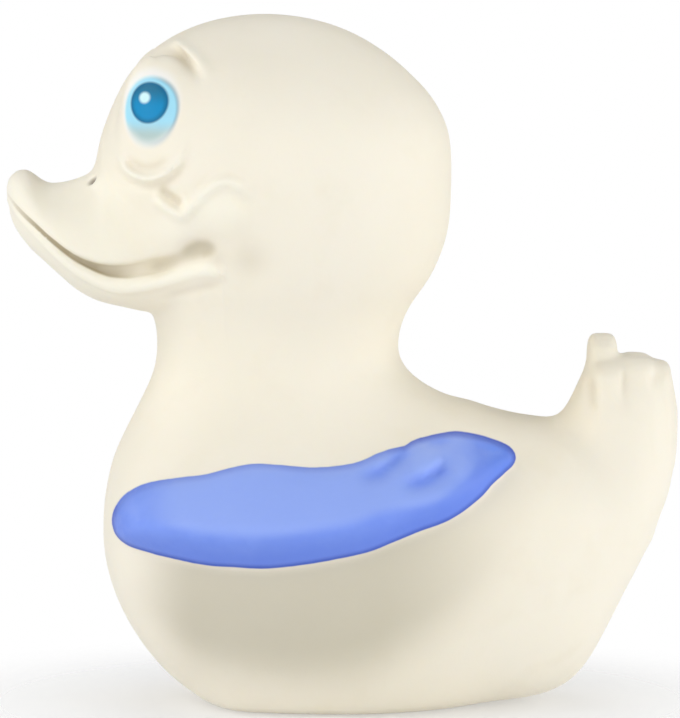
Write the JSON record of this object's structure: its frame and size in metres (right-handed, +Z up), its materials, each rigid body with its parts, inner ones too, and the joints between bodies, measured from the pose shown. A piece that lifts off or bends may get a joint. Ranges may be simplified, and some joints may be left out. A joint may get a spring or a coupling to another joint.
{
  "type": "rubber bath duck",
  "caption": "One-piece moulded rubber duck with a round head, upturned smiling bill, painted eyes and wings and an upright tail, standing on a flat base.",
  "frame": {"origin": "middle of the duck's bounding box, on the plane that its flat base stands on", "axes": "+Z up; the duck faces -Y, its tail is towards +Y and its left side is +X"},
  "size_m": [0.069, 0.0968, 0.1003],
  "materials": {
    "rubber": "satin natural rubber, cream, with blue painted wings and eyes"
  },
  "bodies": {
    "root": {"duck": "rubber"}
  },
  "joints": []
}
